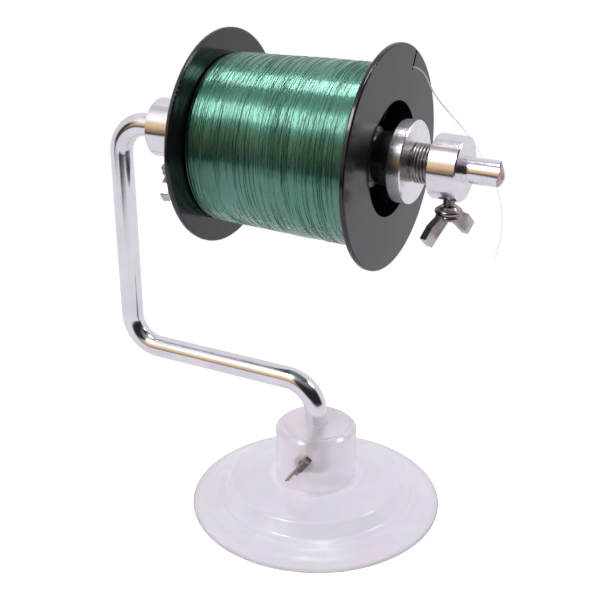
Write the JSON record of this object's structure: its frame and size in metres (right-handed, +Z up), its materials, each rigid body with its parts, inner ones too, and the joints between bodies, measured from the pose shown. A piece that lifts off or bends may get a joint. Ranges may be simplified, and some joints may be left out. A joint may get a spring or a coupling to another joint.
{
  "type": "suction cup line spooling stand",
  "caption": "Suction-cup stand with a cranked rod that carries a spool of line between spring-loaded centring discs and clamped collars.",
  "frame": {"origin": "centre of the suction cup's lip on the table surface, on the swivel axis of the rod", "axes": "+Z up; +X along the axle towards its free end; the user faces the -Y side"},
  "size_m": [0.1438, 0.09, 0.168],
  "materials": {
    "clear_pvc": "clear soft PVC, slightly milky, glossy",
    "bush_brass": "machined, nickel-washed",
    "screw_steel": "cast, nickel plated, satin",
    "rod_aluminium": "polished drawn rod",
    "turned_aluminium": "turned, fine tool marks",
    "disc_aluminium": "turned and polished face",
    "spring_steel": "drawn wire, bright",
    "spool_black": "injection moulded, glossy",
    "green_line": "wound monofilament, translucent sheen",
    "loose_line": "single clear green monofilament"
  },
  "bodies": {
    "cup": {"suction_cup": "clear_pvc", "thread_bush": "bush_brass"},
    "thumb_screw": {"base_thumb_screw": "screw_steel"},
    "arm": {"support_rod": "rod_aluminium", "left_spring": "spring_steel", "right_spring": "spring_steel"},
    "spool": {"spool_left_half": "spool_black", "spool_right_half": "spool_black", "line_winding": "green_line", "line_tail": "loose_line"},
    "disc_left": {"left_disc": "disc_aluminium"},
    "disc_right": {"right_disc": "disc_aluminium"},
    "collar_left": {"left_collar": "turned_aluminium"},
    "collar_right": {"right_collar": "turned_aluminium"},
    "wing_left": {"left_wing_screw": "screw_steel"},
    "wing_right": {"right_wing_screw": "screw_steel"}
  },
  "joints": [
    {"name": "rod_swivel", "type": "hinge", "parent": "cup", "child": "arm", "pos_m": [0, 0, 0.03], "axis": [0, 0, 1], "continuous": true},
    {"name": "thumb_screw_turn", "type": "hinge", "parent": "cup", "child": "thumb_screw", "pos_m": [0, 0, 0.0225], "axis": [0.1478, -0.989, 0], "range_deg": [0, 360]},
    {"name": "spool_spin", "type": "hinge", "parent": "arm", "child": "spool", "pos_m": [0, 0, 0.1325], "axis": [1, 0, 0], "continuous": true},
    {"name": "disc_left_spin", "type": "hinge", "parent": "arm", "child": "disc_left", "pos_m": [-0.0405, 0, 0.1325], "axis": [1, 0, 0], "continuous": true},
    {"name": "disc_right_spin", "type": "hinge", "parent": "arm", "child": "disc_right", "pos_m": [0.031, 0, 0.1325], "axis": [1, 0, 0], "continuous": true},
    {"name": "collar_left_slide", "type": "slide", "parent": "arm", "child": "collar_left", "axis": [1, 0, 0], "range_m": [-0.005, 0]},
    {"name": "collar_right_slide", "type": "slide", "parent": "arm", "child": "collar_right", "axis": [1, 0, 0], "range_m": [0, 0.0115]},
    {"name": "wing_left_turn", "type": "hinge", "parent": "collar_left", "child": "wing_left", "pos_m": [-0.0561, 0, 0.1325], "axis": [0, 0, -1], "range_deg": [0, 360]},
    {"name": "wing_right_turn", "type": "hinge", "parent": "collar_right", "child": "wing_right", "pos_m": [0.0452, 0, 0.1325], "axis": [0, 0, -1], "range_deg": [0, 360]}
  ],
  "couplings": [
    {"joint": "disc_left_spin", "follows": "spool_spin", "ratio": 1},
    {"joint": "disc_right_spin", "follows": "spool_spin", "ratio": 1}
  ]
}
